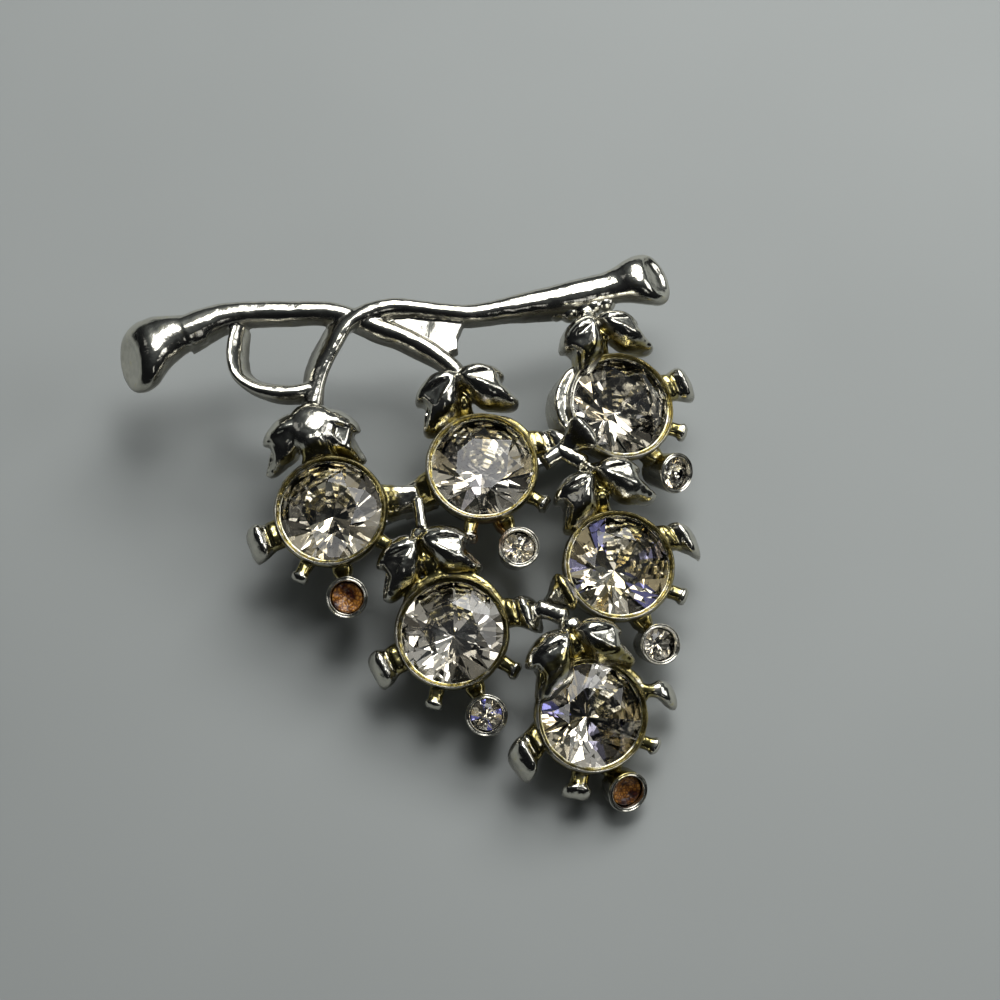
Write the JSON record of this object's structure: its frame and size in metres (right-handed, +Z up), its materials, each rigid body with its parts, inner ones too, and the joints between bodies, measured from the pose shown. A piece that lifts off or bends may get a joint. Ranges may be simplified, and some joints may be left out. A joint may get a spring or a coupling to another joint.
{
  "type": "fruit brooch",
  "caption": "Brooch cast as a twig of hanging fruit, clear round stones in open cups under leaf pairs, with small tube settings and a bar pin on the back",
  "frame": {"origin": "middle of the footprint, on the table that the brooch lies on", "axes": "+X to the right along the twig, +Y up the picture towards the twig, +Z up off the table, out of the stones' faces"},
  "size_m": [0.0498, 0.0479, 0.012],
  "materials": {
    "rhodium": "bright rhodium plate over white metal, with yellow wear in the recesses",
    "crystal": "clear faceted glass with a silvered back",
    "old_cement": "crackled amber cement",
    "pin_steel": "plated steel"
  },
  "bodies": {
    "root": {"casting": "rhodium", "main_stone_1": "crystal", "main_stone_2": "crystal", "main_stone_3": "crystal", "main_stone_4": "crystal", "main_stone_5": "crystal", "main_stone_6": "crystal", "small_stone_2": "crystal", "small_stone_3": "crystal", "small_stone_4": "crystal", "small_stone_5": "crystal", "old_cement_1": "old_cement", "old_cement_6": "old_cement", "pin_back": "pin_steel"}
  },
  "joints": []
}
